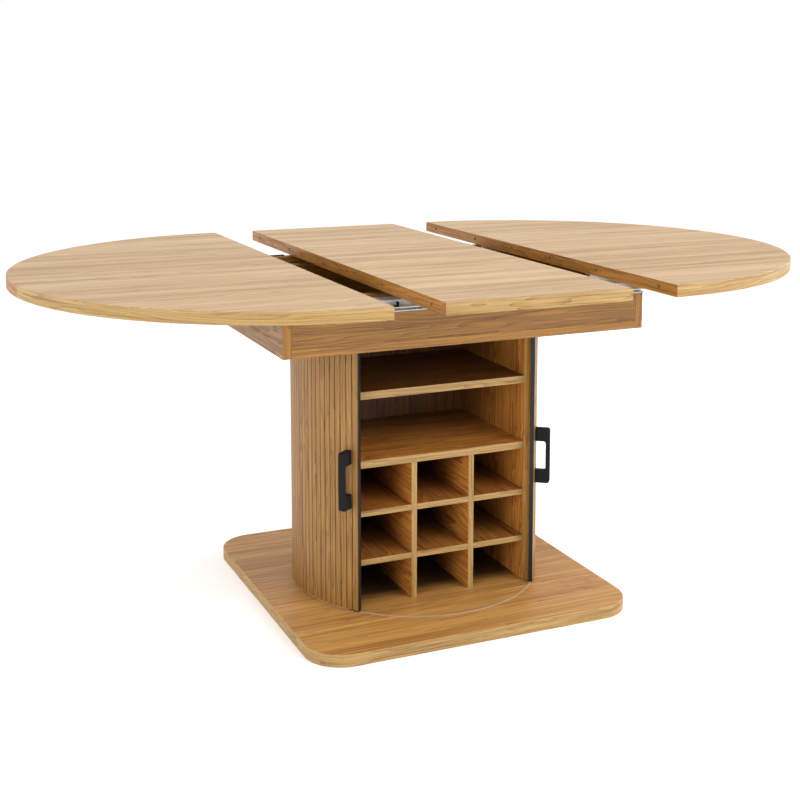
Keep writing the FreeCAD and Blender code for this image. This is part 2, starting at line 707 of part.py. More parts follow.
def make_edge_strips(side):
    """Black strips that close the leading and the trailing edge of a door."""
    for word, start in (("leading", "door_lead"), ("trailing", LAST_STRIP)):
        name = f"{SIDE_NAMES[side]}_door_{word}_strip"
        strip = new_body(name)
        section = new_sketch(strip, "XZ_Plane")
        draw_rectangle(section, ("canvas_face - canvas_thickness", "base_top + track_thickness + strip_gap"),
                       ("door_face + strip_gap", "apron_bottom - track_thickness - strip_gap"))
        revolve(strip, section, "strip_angle - strip_play")
        dress(strip, "Chamfer", "board_ease", is_upright)
        turn(strip, door_turn(side, start, "strip_angle - strip_play"))
        keep(strip, name)


def make_guides(side):
    """Nylon shoes under and over the slats that straddle the two guide rings."""
    name = SIDE_NAMES[side]
    guides = new_body(name + "_door_guides")
    section = new_sketch(guides, "XZ_Plane")
    inner = "track_radius - track_width / 2 - guide_play"
    outer = "track_radius + track_width / 2 + guide_play"
    for floor, sign, end in (("base_top", 1, "door_low"), ("apron_bottom", -1, "door_high")):
        foot = f"{floor} + {sign} * guide_play"
        crown = f"{floor} + {sign} * (track_thickness + guide_play)"
        draw_outline(section, [(f"{inner} - guide_leg", foot), (inner, foot), (inner, crown), (outer, crown),
                               (outer, foot), (f"{outer} + guide_leg", foot),
                               (f"{outer} + guide_leg", end), (f"{inner} - guide_leg", end)])
    shoe = revolve(guides, section, "guide_angle")
    polar(guides, shoe, "3", "guide_pitch")
    turn(guides, door_turn(side, "door_lead + strip_angle", "guide_angle + 2 * guide_pitch"))
    keep(guides, name + "_door_guides")


def is_finger_corner(edge):
    """True for the two inner corners of the handle, beside the grip."""
    run = edge.BoundBox
    grip = value("door_face + handle_reach - handle_bar")
    return run.YLength > 1 and run.XLength < 0.01 and run.ZLength < 0.01 and abs(run.XMin - grip) < 0.01


def is_outer_corner(edge):
    """True for the two outer corners of the handle."""
    run = edge.BoundBox
    crest = value("door_face + handle_reach")
    return run.YLength > 1 and run.XLength < 0.01 and run.ZLength < 0.01 and abs(run.XMin - crest) < 0.01


def make_handle(side):
    """Flat D-shaped pull with two wide feet."""
    low = "handle_middle - handle_length / 2"
    high = "handle_middle + handle_length / 2"
    face = "door_face + glue_line"
    grip = "door_face + handle_reach - handle_bar"
    crest = "door_face + handle_reach"
    handle = new_body(SIDE_NAMES[side] + "_door_handle")
    outline = new_sketch(handle, "XZ_Plane")
    draw_outline(outline, [(face, low), (crest, low), (crest, high), (face, high),
                           (face, f"{high} - handle_foot"), (grip, f"{high} - handle_foot"),
                           (grip, f"{low} + handle_foot"), (face, f"{low} + handle_foot")])
    pad(handle, outline, "handle_width", midplane=True)
    dress(handle, "Fillet", "handle_round", is_outer_corner)
    dress(handle, "Fillet", "finger_round", is_finger_corner)
    turn(handle, door_turn(side, "handle_place", "0"))
    keep(handle, SIDE_NAMES[side] + "_door_handle")


def make_door(side):
    """One tambour door: slats on canvas between two edge strips, with its guides and handle."""
    make_slats(side)
    make_canvas(side)
    make_edge_strips(side)
    make_guides(side)
    make_handle(side)


# Assembly ------------------------------------------------------------------------------------

make_base()
make_track("floor_track", "base_top", "base_top + track_thickness")
make_cabinet()
make_apron()
make_track("ceiling_track", "apron_bottom - track_thickness", "apron_bottom")
make_rest_blocks()
make_channels()
make_rest_rail()
make_stops()
for half in (LEFT, RIGHT):
    make_runners(half)
    make_half_top(half)
make_dowels("half_top_dowels", "-chord_place", (FRONT, BACK))
for panel_side in (FRONT, BACK):
    make_leaf_panel(panel_side)
for half in (LEFT, RIGHT):
    make_door(half)

doc.recompute()
for item in doc.Objects:
    if "Invalid" in item.State or "Error" in item.State:
        raise RuntimeError(f"{item.Label} failed: {item.State}")
for piece in parts:
    if piece.Shape.isNull() or not piece.Shape.isValid():
        raise RuntimeError(f"{piece.Label} has no valid shape")

os.makedirs("parts", exist_ok=True)
for piece in parts:
    piece.Shape.exportStep(f"parts/{piece.Label}.step")
    bounds = piece.Shape.BoundBox
    print(f"{piece.Label:28s} {len(piece.Shape.Solids):3d} solids {piece.Shape.Volume / 1000:9.1f} cm3  "
          f"x {bounds.XMin:7.1f} {bounds.XMax:7.1f}  y {bounds.YMin:7.1f} {bounds.YMax:7.1f}  "
          f"z {bounds.ZMin:6.1f} {bounds.ZMax:6.1f}")
print(len(parts), "sub-parts")
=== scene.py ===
"""Finish of a round extending table on a square base, with a tambour cabinet in its column."""

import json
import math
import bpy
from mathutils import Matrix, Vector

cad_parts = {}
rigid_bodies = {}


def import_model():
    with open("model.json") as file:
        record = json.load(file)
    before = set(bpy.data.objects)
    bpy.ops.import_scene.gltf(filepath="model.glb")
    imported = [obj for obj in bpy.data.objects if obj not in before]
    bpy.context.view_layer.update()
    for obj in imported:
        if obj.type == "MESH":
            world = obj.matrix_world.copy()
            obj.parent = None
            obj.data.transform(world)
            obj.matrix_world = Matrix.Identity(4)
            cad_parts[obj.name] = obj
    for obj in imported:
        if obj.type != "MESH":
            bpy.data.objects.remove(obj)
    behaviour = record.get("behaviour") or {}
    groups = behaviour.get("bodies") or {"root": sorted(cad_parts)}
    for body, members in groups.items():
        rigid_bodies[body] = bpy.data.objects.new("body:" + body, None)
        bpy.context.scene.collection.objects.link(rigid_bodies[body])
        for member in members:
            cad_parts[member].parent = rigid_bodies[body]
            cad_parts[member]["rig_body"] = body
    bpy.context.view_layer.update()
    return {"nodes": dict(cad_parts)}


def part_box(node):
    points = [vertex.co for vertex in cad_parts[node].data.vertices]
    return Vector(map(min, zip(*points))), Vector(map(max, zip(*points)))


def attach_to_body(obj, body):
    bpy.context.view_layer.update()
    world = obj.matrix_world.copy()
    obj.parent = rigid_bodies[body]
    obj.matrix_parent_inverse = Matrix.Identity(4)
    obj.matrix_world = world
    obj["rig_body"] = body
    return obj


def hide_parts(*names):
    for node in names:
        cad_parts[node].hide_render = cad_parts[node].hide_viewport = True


bl_info = {
    "name": "Extending Pedestal Table",
    "version": (1, 0, 0),
    "blender": (4, 5, 0),
    "location": "View3D > Sidebar > Table",
    "description": "Finishes an extending pedestal table with a tambour cabinet in its column",
    "category": "Object",
}

import bmesh
import bpy
from mathutils import Vector

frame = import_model()

MM = 0.001
GRAIN = "grain"
SIDES = {"left": -1, "right": 1}
# points nearer than this are one, and faces that turn by less than this are flat
WELD = 0.01 * MM
FLAT = math.radians(0.3)
# edges that turn by more than this are rounded
SHARP = math.radians(50)


def linear(colour):
    """An sRGB hex colour as linear red, green, blue and alpha."""
    channels = [int(colour[start:start + 2], 16) / 255 for start in (1, 3, 5)]
    return tuple(c / 12.92 if c <= 0.04045 else ((c + 0.055) / 1.055) ** 2.4 for c in channels) + (1.0,)


# Sizes that the frame gives --------------------------------------------------------------------

def low(node):
    """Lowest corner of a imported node."""
    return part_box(node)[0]


def high(node):
    """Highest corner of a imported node."""
    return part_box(node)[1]


TOP_RADIUS = high("half_top_left").y
CHORD = abs(high("half_top_left").x)
DOOR_FACE = 283.7 * MM
CANVAS_FACE = 276.2 * MM
SLAT_COUNT = 43
SLAT_PITCH = math.radians(3)
DOOR_LEAD = math.radians(48.1)
STRIP_ANGLE = math.radians(0.5)


# Settings --------------------------------------------------------------------------------------

def colour(name, description, default):
    """A colour property with an sRGB hex default."""
    return bpy.props.FloatVectorProperty(name=name, description=description, subtype="COLOR", size=4,
                                         min=0, max=1, default=linear(default))


def length(name, description, millimetres):
    """A length property with a default in millimetres."""
    return bpy.props.FloatProperty(name=name, description=description, unit="LENGTH", min=0,
                                   precision=5, default=millimetres * MM)


class TableFinish(bpy.types.PropertyGroup):
    """Colours of the table's materials"""
    top_light: colour("Top, light", "Early wood of the oak on the table top", "#b29266")
    top_dark: colour("Top, dark", "Late wood and pores of the oak on the table top", "#775021")
    band_light: colour("Edge bands, light", "Early wood of the bands on the boards' edges", "#aa8b51")
    band_dark: colour("Edge bands, dark", "Late wood of the bands on the boards' edges", "#6d420c")
    # the joint bands are darker than the other bands: painted shade for the narrow gaps where the boards of
    # the top meet
    joint_light: colour("Joint bands, light", "Early wood of the bands where the boards of the top meet",
                        "#a36d24")
    joint_dark: colour("Joint bands, dark", "Late wood of the bands where the boards of the top meet",
                       "#543005")
    apron_light: colour("Apron, light", "Early wood of the oak on the apron box", "#976822")
    apron_dark: colour("Apron, dark", "Late wood and pores of the oak on the apron box", "#482904")
    cabinet_light: colour("Cabinet, light", "Early wood of the oak in the cabinet", "#d99241")
    cabinet_dark: colour("Cabinet, dark", "Late wood and pores of the oak in the cabinet", "#62330a")
    slat_light: colour("Slats, light", "Early wood of the doors' slats", "#9d7331")
    slat_dark: colour("Slats, dark", "Late wood and pores of the doors' slats", "#562b06")
    base_light: colour("Base, light", "Early wood of the oak on the base plate", "#c99954")
    base_dark: colour("Base, dark", "Late wood and pores of the oak on the base plate", "#773f0d")
    beech: colour("Dowels", "Turned beech", "#c9a877")
    ring: colour("Guide rings", "Satin anodised aluminium", "#cdb79c")
    steel: colour("Slides", "Grey powder-coated steel", "#c4c6c6")
    black: colour("Black metal", "Powder-coated handles and hooks", "#101011")
    strip: colour("Black plastic", "Moulded ABS strips, shoes and glides", "#12110f")
    nylon: colour("Nylon", "Dark moulded nylon", "#34312d")
    canvas: colour("Canvas", "Cotton canvas behind the slats", "#9a8466")
    brass: colour("Hinges", "Satin brass", "#c09a55")
    rubber: colour("Rubber", "Moulded rubber blocks", "#2a2a2a")
    zinc: colour("Screws", "Bright zinc plating", "#9a9da1")
    floor: colour("Floor", "Plain studio floor", "#f4f4f4")


class TableDetail(bpy.types.PropertyGroup):
    """Sizes of the finish"""
    board_round: length("Board edges", "Rounding of the sharp edges of boards", 0.6)
    metal_round: length("Metal edges", "Rounding of the edges of sheet metal", 0.3)
    handle_round: length("Handle edges", "Rounding of the long edges of the handles", 1.6)
    slat_round: length("Slat edges", "Rounding of the outer edges of the slats", 1.8)
    slat_width: length("Slat width", "Width of one slat of a door", 14.1)
    screw_head: length("Screw heads", "Diameter of the small screw heads", 7.0)
    ring_width: length("Growth rings", "Mean distance between growth rings in the veneer", 7.5)
    leaf_width: length("Veneer leaves", "Width of one leaf of veneer", 170.0)
    band_width: length("Edge bands", "Width of the strips that the edge bands are cut from", 60.0)


class StudioSettings(bpy.types.PropertyGroup):
    """Camera and light"""
    camera_place: bpy.props.FloatVectorProperty(name="Camera place", description="Where the camera stands",
                                                subtype="TRANSLATION", unit="LENGTH",
                                                default=(-1.2135, -2.7184, 1.1865))
    camera_yaw: bpy.props.FloatProperty(name="Camera yaw", unit="ROTATION", default=math.radians(23.45),
                                        description="Turn of the view from +Y towards +X")
    camera_pitch: bpy.props.FloatProperty(name="Camera pitch", description="Tilt of the view below level",
                                          unit="ROTATION", default=math.radians(7.31))
    lens: bpy.props.FloatProperty(name="Lens", description="Focal length on a 36 mm sensor",
                                  unit="CAMERA", default=59.37)
    shift: bpy.props.FloatProperty(name="Shift", description="Vertical shift of the lens", default=-0.2)
    walls: bpy.props.FloatProperty(name="Walls", description="Brightness of the studio's white walls",
                                   min=0, default=1.0)
    ceiling: bpy.props.FloatProperty(name="Ceiling", description="Brightness of the studio's ceiling",
                                     min=0, default=0.72)
    floor_light: bpy.props.FloatProperty(name="Floor light", min=0, default=0.37,
                                         description="Light that comes through the floor")


# Node trees ------------------------------------------------------------------------------------

MATH = "ShaderNodeMath"


def add(tree, kind, inputs=(), **settings):
    """A node with its settings; an input is a value, a socket, or a node for its first live output."""
    node = tree.nodes.new(kind)
    for key, value in settings.items():
        setattr(node, key, value)
    for socket, value in inputs.items() if isinstance(inputs, dict) else enumerate(inputs):
        if isinstance(value, bpy.types.Node):
            value = next(output for output in value.outputs if output.enabled)
        if isinstance(value, bpy.types.NodeSocket):
            tree.links.new(value, node.inputs[socket])
        else:
            node.inputs[socket].default_value = value
    return node


def new_material(name):
    """A new node material; returns its tree and its shader."""
    material = bpy.data.materials.new(name)
    material.use_nodes = True
    tree = material.node_tree
    tree.nodes.clear()
    shader = add(tree, "ShaderNodeBsdfPrincipled")
    add(tree, "ShaderNodeOutputMaterial", {"Surface": shader})
    return tree, shader


def fibres(tree, grain, long, wide, detail=2.0):
    """Streaks along the grain, of a given length and width in metres."""
    stretched = add(tree, "ShaderNodeMapping", {"Vector": grain, "Scale": (1 / long, 1 / wide, 1)})
    return add(tree, "ShaderNodeTexNoise", {"Vector": stretched, "Scale": 1.0, "Detail": detail},
               noise_dimensions="2D")


def weigh(tree, start, parts):
    """A start value plus patterns, each taken from its own middle and given its weight."""
    total = start
    for pattern, middle, weight in parts:
        swing = add(tree, MATH, [pattern, middle], operation="SUBTRACT")
        total = add(tree, MATH, [swing, weight, total], operation="MULTIPLY_ADD")
    return total


def scaled(shade, factor):
    """A colour made darker or lighter."""
    return tuple(min(part * factor, 1.0) for part in shade[:3]) + (1.0,)


# Materials -------------------------------------------------------------------------------------

def growth_rings(tree, along, across, leaf, ring):
    """Late wood of flat-sawn leaves: straight lines at a leaf's sides, arches along its middle.

    A growth ring is a cone round the heart of the log, so the cut shows where its radius, less the taper
    of the trunk, is a whole number of rings. Gives the darkness of the late wood, a number that is a
    leaf's own, and how near a place is to a leaf's side.
    """
    depth = 28 * MM
    taper = -0.025
    sway = 130 * MM
    leaves = add(tree, MATH, [across, leaf], operation="DIVIDE")
    number = add(tree, MATH, [leaves], operation="FLOOR")
    chance = add(tree, "ShaderNodeTexWhiteNoise", {"W": number}, noise_dimensions="1D").outputs["Value"]
    inside = add(tree, MATH, [add(tree, MATH, [leaves], operation="FRACT"), 0.5], operation="SUBTRACT")
    shifted = weigh(tree, 0.0, [(inside, 0.0, leaf), (chance, 0.5, sway)])
    squared = add(tree, MATH, [shifted, shifted, depth * depth], operation="MULTIPLY_ADD")
    radius = add(tree, MATH, [squared], operation="SQRT")
    flow = add(tree, "ShaderNodeCombineXYZ", {"X": along, "Y": across, "Z": 0.0})
    bent = weigh(tree, radius, [(along, 0.0, taper), (fibres(tree, flow, 0.5, 0.05), 0.5, 60 * MM),
                                (fibres(tree, flow, 0.09, 0.015), 0.5, 8 * MM)])
    turns = add(tree, MATH, [bent, ring], operation="DIVIDE")
    late = add(tree, MATH, [add(tree, MATH, [turns], operation="FRACT"), 2.0], operation="POWER")
    seam = add(tree, "ShaderNodeMapRange", {"Value": add(tree, MATH, [inside], operation="ABSOLUTE"),
                                            "From Min": 0.40, "From Max": 0.46})
    return late, chance, seam


def column_shade_mask(tree, reach):
    """How deep in the column a place lies, the mask of the painted shade there: 0 at the open front and
    outside, 1 from a given reach on.
    """
    place = add(tree, "ShaderNodeTexCoord").outputs["Object"]
    parts = add(tree, "ShaderNodeSeparateXYZ", {"Vector": place})
    flat = add(tree, "ShaderNodeCombineXYZ", {"X": parts.outputs["X"], "Y": parts.outputs["Y"]})
    radius = add(tree, "ShaderNodeVectorMath", {0: flat}, operation="LENGTH")
    within = add(tree, MATH, [radius, CANVAS_FACE], operation="LESS_THAN")
    front = low("upper_shelf").y
    back = add(tree, "ShaderNodeMapRange", {"Value": parts.outputs["Y"], "From Min": front,
                                            "From Max": front + reach}, interpolation_type="SMOOTHSTEP")
    return add(tree, MATH, [within, back], operation="MULTIPLY")


def sliced_oak(name, light, dark, leaf, broad, fine, gloss, side_shade=0.0, depth=(0.0, 1.0)):
    """Oak under a satin lacquer, from light early wood to dark late wood.

    It shows broad bands where the wood near the heart darkens, arched growth rings, streaks of fibres, and
    the short open pores that dull the gloss and dent the lacquer. Broad and fine weigh the wide and the
    narrow lines, and the weight for the sides darkens the sides of each leaf with painted shade, the shade
    in the grooves between slats. Depth says how much the wood is darkened deep in the column with painted
    shade, for the little light that reaches in there, and how far in that is reached.
    """
    tree, shader = new_material(name)
    detail = bpy.context.scene.table_detail
    grain = add(tree, "ShaderNodeUVMap", uv_map=GRAIN)
    parts = add(tree, "ShaderNodeSeparateXYZ", {"Vector": grain})
    late, chance, seam = growth_rings(tree, parts.outputs["X"], parts.outputs["Y"], leaf, detail.ring_width)
    bands = fibres(tree, grain, 1.2, 0.04, detail=3)
    # fibres are drawn 3 and 7 mm wide and pores 0.6 mm wide, two or three times as wide as the real ones,
    # so that they show across a room
    streaks = fibres(tree, grain, 0.5, 0.007, detail=4)
    threads = fibres(tree, grain, 0.2, 0.003, detail=3)
    specks = fibres(tree, grain, 0.014, 0.0006)
    pores = add(tree, MATH, [specks, 0.63], operation="GREATER_THAN")
    # the last part darkens the sides of each leaf: painted shade, as falls in the grooves between slats
    darkness = weigh(tree, 0.30, [
        (late, 0.33, 0.4 * fine), (bands, 0.5, 0.9 * broad), (streaks, 0.5, broad), (threads, 0.5, fine),
        (pores, 0.0, 0.12 * fine), (chance, 0.5, 0.12 * broad), (seam, 0.0, side_shade)])
    share = add(tree, MATH, [darkness, 0.0], operation="ADD", use_clamp=True)
    tone = add(tree, "ShaderNodeMix", {"Factor": share, 6: light, 7: dark}, data_type="RGBA")
    # painted shade: the tone is darkened toward the back of the column, for the little light that reaches
    # in there
    darker, reach = depth
    dim = add(tree, MATH, [column_shade_mask(tree, reach), -darker, 1.0], operation="MULTIPLY_ADD")
    shaded_tone = add(tree, "ShaderNodeVectorMath", {0: tone.outputs[2], "Scale": dim}, operation="SCALE")
    tree.links.new(shaded_tone.outputs["Vector"], shader.inputs["Base Color"])
    rough = add(tree, MATH, [share, 0.16, gloss], operation="MULTIPLY_ADD")
    tree.links.new(rough.outputs[0], shader.inputs["Roughness"])
    relief = weigh(tree, threads, [(pores, 0.0, 0.6)])
    bump = add(tree, "ShaderNodeBump", {"Height": relief, "Strength": 0.25, "Distance": 0.05 * MM},
               invert=True)
    tree.links.new(bump.outputs[0], shader.inputs["Normal"])


def speckled(name, shade, roughness, metallic=0.0, speck=0.4, strength=0.15, spread=0.12, specular=0.5):
    """A plain finish with a fine grain in its gloss, tone and relief.

    Speck is the size of the grain in millimetres, and spread is how much its tone and gloss vary.
    """
    tree, shader = new_material(name)
    place = add(tree, "ShaderNodeTexCoord").outputs["Object"]
    fine = add(tree, "ShaderNodeTexNoise", {"Vector": place, "Scale": 1 / (speck * MM)})
    broad = add(tree, "ShaderNodeTexNoise", {"Vector": place, "Scale": 1 / (60 * MM)})
    uneven = weigh(tree, 0.0, [(fine, 0.5, spread), (broad, 0.5, spread)])
    share = add(tree, MATH, [uneven, 0.5], operation="ADD", use_clamp=True)
    tone = add(tree, "ShaderNodeMix", {"Factor": share, 6: scaled(shade, 0.7), 7: scaled(shade, 1.3)},
               data_type="RGBA")
    tree.links.new(tone.outputs[2], shader.inputs["Base Color"])
    rough = add(tree, MATH, [uneven, roughness], operation="ADD", use_clamp=True)
    tree.links.new(rough.outputs[0], shader.inputs["Roughness"])
    shader.inputs["Metallic"].default_value = metallic
    shader.inputs["Specular IOR Level"].default_value = specular
    bump = add(tree, "ShaderNodeBump", {"Height": fine, "Strength": strength, "Distance": 0.1 * MM})
    tree.links.new(bump.outputs[0], shader.inputs["Normal"])
    return shader


def woven_canvas(name, shade):
    """Plain-woven cotton: crossing threads 1.2 mm apart, drawn in tone and relief."""
    tree, shader = new_material(name)
    place = add(tree, "ShaderNodeTexCoord").outputs["Object"]
    parts = add(tree, "ShaderNodeSeparateXYZ", {"Vector": place})
    angle = add(tree, MATH, [parts.outputs["Y"], parts.outputs["X"]], operation="ARCTAN2")
    turns = math.tau / (1.2 * MM)
    weft = add(tree, MATH, [add(tree, MATH, [angle, CANVAS_FACE * turns], operation="MULTIPLY")],
               operation="SINE")
    warp = add(tree, MATH, [add(tree, MATH, [parts.outputs["Z"], turns], operation="MULTIPLY")],
               operation="SINE")
    crossing = add(tree, MATH, [weft, warp], operation="MULTIPLY")
    weave = add(tree, MATH, [crossing, 0.5, 0.5], operation="MULTIPLY_ADD")
    tone = add(tree, "ShaderNodeMix", {"Factor": weave, 6: scaled(shade, 0.6), 7: shade}, data_type="RGBA")
    tree.links.new(tone.outputs[2], shader.inputs["Base Color"])
    shader.inputs["Roughness"].default_value = 0.9
    bump = add(tree, "ShaderNodeBump", {"Height": weave, "Strength": 0.5, "Distance": 0.2 * MM})
    tree.links.new(bump.outputs[0], shader.inputs["Normal"])


def make_materials():
    """Every material of the table, by the name of what it is."""
    finish = bpy.context.scene.table_finish
    detail = bpy.context.scene.table_detail
    # how an oak is figured: width of its leaves, weights of wide and of narrow lines, and roughness
    plain = (detail.leaf_width, 1.1, 0.7, 0.38)
    edge = (detail.band_width, 0.5, 1.1, 0.42)
    lively = (detail.leaf_width, 0.6, 1.3, 0.45)
    # sliced veneer, sanded and lacquered: pale, with a satin gloss that shows at a low angle
    sliced_oak("oak_veneer_top", finish.top_light, finish.top_dark, *plain)
    # bands ironed onto the edges: their streaks run along the edge and stand out more
    sliced_oak("oak_edge_band", finish.band_light, finish.band_dark, *edge)
    # bands on the edges that meet in the middle of the top: the same, painted darker as shade in the narrow
    # gaps where the boards meet
    sliced_oak("oak_joint_band", finish.joint_light, finish.joint_dark, *edge)
    # veneered boards of the apron: deeper honey, with clear arches
    sliced_oak("oak_veneer_apron", finish.apron_light, finish.apron_dark, detail.leaf_width, 0.5, 1.1, 0.42)
    # the bands on their edges: the same oak, a little lighter
    sliced_oak("oak_apron_band", scaled(finish.apron_light, 1.2), scaled(finish.apron_dark, 1.2), *edge)
    # veneered walls of the cabinet: the same honey, with painted shade that darkens them the farther they
    # lie in
    sliced_oak("oak_veneer_cabinet", finish.cabinet_light, finish.cabinet_dark, *lively,
               depth=(0.6, 350 * MM))
    # the dividers of its bottle rack: the same, with the painted shade reaching full dark sooner
    sliced_oak("oak_veneer_divider", finish.cabinet_light, finish.cabinet_dark, *lively,
               depth=(0.85, 240 * MM))
    # the lying boards of the rack: a shaded copy of the cabinet oak, six tenths as bright all over, with
    # more painted shade farther in
    sliced_oak("oak_veneer_rack", scaled(finish.cabinet_light, 0.6), scaled(finish.cabinet_dark, 0.6),
               *lively, depth=(0.85, 260 * MM))
    # its thin back board and its top shelf: a shaded copy of the cabinet oak, a quarter as bright, as
    # painted shade deep in the column
    sliced_oak("oak_veneer_heartwood", scaled(finish.cabinet_light, 0.26),
               scaled(finish.cabinet_dark, 0.26), *lively)
    # planed solid slats: each from another place in the log, with painted shade along their sides for the
    # grooves between them
    sliced_oak("oak_slats", finish.slat_light, finish.slat_dark, SLAT_PITCH * DOOR_FACE, 0.4, 1.0, 0.45,
               side_shade=0.45)
    # the veneer of the base plate and of the cabinet's front edges: lighter, in broad streaks, and darkened
    # with painted shade where the plate is the floor of the cabinet
    sliced_oak("oak_veneer_base", finish.base_light, finish.base_dark, detail.leaf_width, 0.9, 0.7, 0.4,
               depth=(0.9, 70 * MM))
    # turned beech, sanded: pale, close-grained and matt
    speckled("beech", finish.beech, 0.6, speck=0.8, spread=0.4)
    # blasted and anodised aluminium strip: even, soft sheen, no mirror image
    speckled("anodised_aluminium", finish.ring, 0.75, metallic=1.0, speck=0.3)
    # powder-coated steel: fine orange peel over a soft gloss
    speckled("powder_coated_steel", finish.steel, 0.38, speck=0.5)
    # black powder coat: matt, with a sandy grain that breaks up the highlight
    speckled("black_powder_coat", finish.black, 0.5, speck=0.5, strength=0.25, spread=0.3, specular=0.15)
    # moulded ABS: a light spark-eroded texture that shines where it is seen along its face
    speckled("moulded_abs", finish.strip, 0.35, speck=0.4, strength=0.2, specular=0.35)
    # moulded nylon: waxy and smooth
    speckled("moulded_nylon", finish.nylon, 0.4, speck=0.6)
    # satin brass: brushed soft, with a warm sheen
    speckled("satin_brass", finish.brass, 0.3, metallic=1.0, speck=0.4)
    # moulded rubber: dull, with a dusty grain
    speckled("moulded_rubber", finish.rubber, 0.8, speck=0.8, strength=0.3)
    # bright zinc plating: cold and shiny
    speckled("zinc_plate", finish.zinc, 0.3, metallic=1.0, speck=0.3)
    # cotton canvas: crossing threads, quite matt
    woven_canvas("cotton_canvas", finish.canvas)


# Meshes ----------------------------------------------------------------------------------------

def solid_of(node):
    """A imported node's solid with its loose triangles welded and its flat faces whole."""
    bm = bmesh.new()
    bm.from_mesh(frame["nodes"][node].data)
    bmesh.ops.remove_doubles(bm, verts=bm.verts, dist=WELD)
    bmesh.ops.dissolve_limit(bm, angle_limit=FLAT, verts=bm.verts, edges=bm.edges)
    return bm


def round_edges(bm, width, segments=2, wanted=lambda edge: True):
    """Rounds the wanted edges that are sharp."""
    sharp = [edge for edge in bm.edges
             if edge.is_manifold and edge.calc_face_angle() > SHARP and wanted(edge)]
    bmesh.ops.bevel(bm, geom=sharp, offset=width, segments=segments, profile=0.5, affect="EDGES",
                    clamp_overlap=True)


def lay_grain(bm, axis, seed, rim=None):
    """Gives every face a map in metres whose first coordinate follows the grain, and marks edges as banded.

    The grain of a board runs along an axis, and that of the bands on its edges along the edge. A rim is an
    edge that goes round, given as (middle along X, radius, play), and the grain of its band runs round it.
    """
    layer = bm.loops.layers.uv.new(GRAIN)
    # each seed is another place in the log, 3.1 m further along and 0.37 m across
    along_log, across_log = 3.1 * seed, 0.37 * seed
    spans = [max(v.co[n] for v in bm.verts) - min(v.co[n] for v in bm.verts) for n in range(3)]
    thin = spans.index(min(spans))
    for face in bm.faces:
        facing = max(range(3), key=lambda n: abs(face.normal[n]))
        along = axis if facing == thin else 3 - facing - thin
        across = 3 - along - thin if facing == thin else thin
        on_rim = rim and facing != thin and all(
            abs(math.hypot(v.co.x - rim[0], v.co.y) - rim[1]) < rim[2] for v in face.verts)
        face.material_index = int(facing != thin)
        for loop in face.loops:
            place = loop.vert.co
            u, v = place[along], place[across]
            if on_rim:
                u = rim[1] * math.atan2(place.y, place.x - rim[0])
            loop[layer].uv = (u + along_log, v + across_log)


def finished(name, bm, body, materials, nodes=(), smooth=35):
    """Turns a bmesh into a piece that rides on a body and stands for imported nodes."""
    mesh = bpy.data.meshes.new(name)
    bm.normal_update()
    for face in bm.faces:
        face.smooth = True
    for edge in bm.edges:
        edge.smooth = not edge.is_manifold or edge.calc_face_angle() < math.radians(smooth)
    bm.to_mesh(mesh)
    bm.free()
    piece = bpy.data.objects.new(name, mesh)
    bpy.context.scene.collection.objects.link(piece)
    for material in materials:
        mesh.materials.append(bpy.data.materials[material])
    weighted = piece.modifiers.new("weighted", "WEIGHTED_NORMAL")
    weighted.keep_sharp = True
    return attach(piece, body, nodes)


def attach(piece, body, nodes):
    """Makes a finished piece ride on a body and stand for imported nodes."""
    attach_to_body(piece, body)
    if nodes:
        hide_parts(*nodes)
    return piece


def body_of(node):
    """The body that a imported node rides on."""
    return frame["nodes"][node]["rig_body"]


def dress_node(node, material, width, segments=2):
    """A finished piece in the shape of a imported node, its sharp edges rounded."""
    bm = solid_of(node)
    round_edges(bm, width, segments=segments)
    return finished(node + "_finished", bm, body_of(node), [material], [node])


def dress_board(node, grain, seed, veneer, rim=None, own_band=None,
                band="oak_edge_band", ease=0.0):
    """A board with veneer on its broad faces and bands on its edges, its outer edges eased.

    An own band is an axis and the oak of the bands on the edges that face along it. Ease is added to the
    rounding of the outer edges.
    """
    bm = solid_of(node)
    levels = [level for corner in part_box(node) for level in corner]

    def outer(edge):
        """True on an edge that lies in one of the planes of the board's box."""
        return any(all(abs(vert.co[n] - levels[n + side]) < WELD for vert in edge.verts)
                   for n in range(3) for side in (0, 3))

    round_edges(bm, bpy.context.scene.table_detail.board_round + ease, wanted=outer)
    lay_grain(bm, grain, seed, rim)
    materials = [veneer, band]
    if own_band:
        axis, oak = own_band
        materials.append(oak)
        for face in bm.faces:
            if abs(face.normal[axis]) > 0.99:
                face.material_index = 2
    return finished(node + "_finished", bm, body_of(node), materials, [node], smooth=50)


def paint_node(node, material):
    """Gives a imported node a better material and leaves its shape."""
    piece = frame["nodes"][node]
    piece.data.materials.clear()
    piece.data.materials.append(bpy.data.materials[material])


# Geometry node trees ---------------------------------------------------------------------------

def new_tree(name, sockets):
    """A geometry node tree with inputs given as (name, kind, default); returns the tree and its inputs."""
    tree = bpy.data.node_groups.new(name, "GeometryNodeTree")
    tree.interface.new_socket("Geometry", in_out="INPUT", socket_type="NodeSocketGeometry")
    for label, kind, default in sockets:
        socket = tree.interface.new_socket(label, in_out="INPUT", socket_type=kind)
        if default is not None:
            socket.default_value = default
    tree.interface.new_socket("Geometry", in_out="OUTPUT", socket_type="NodeSocketGeometry")
    return tree, add(tree, "NodeGroupInput").outputs


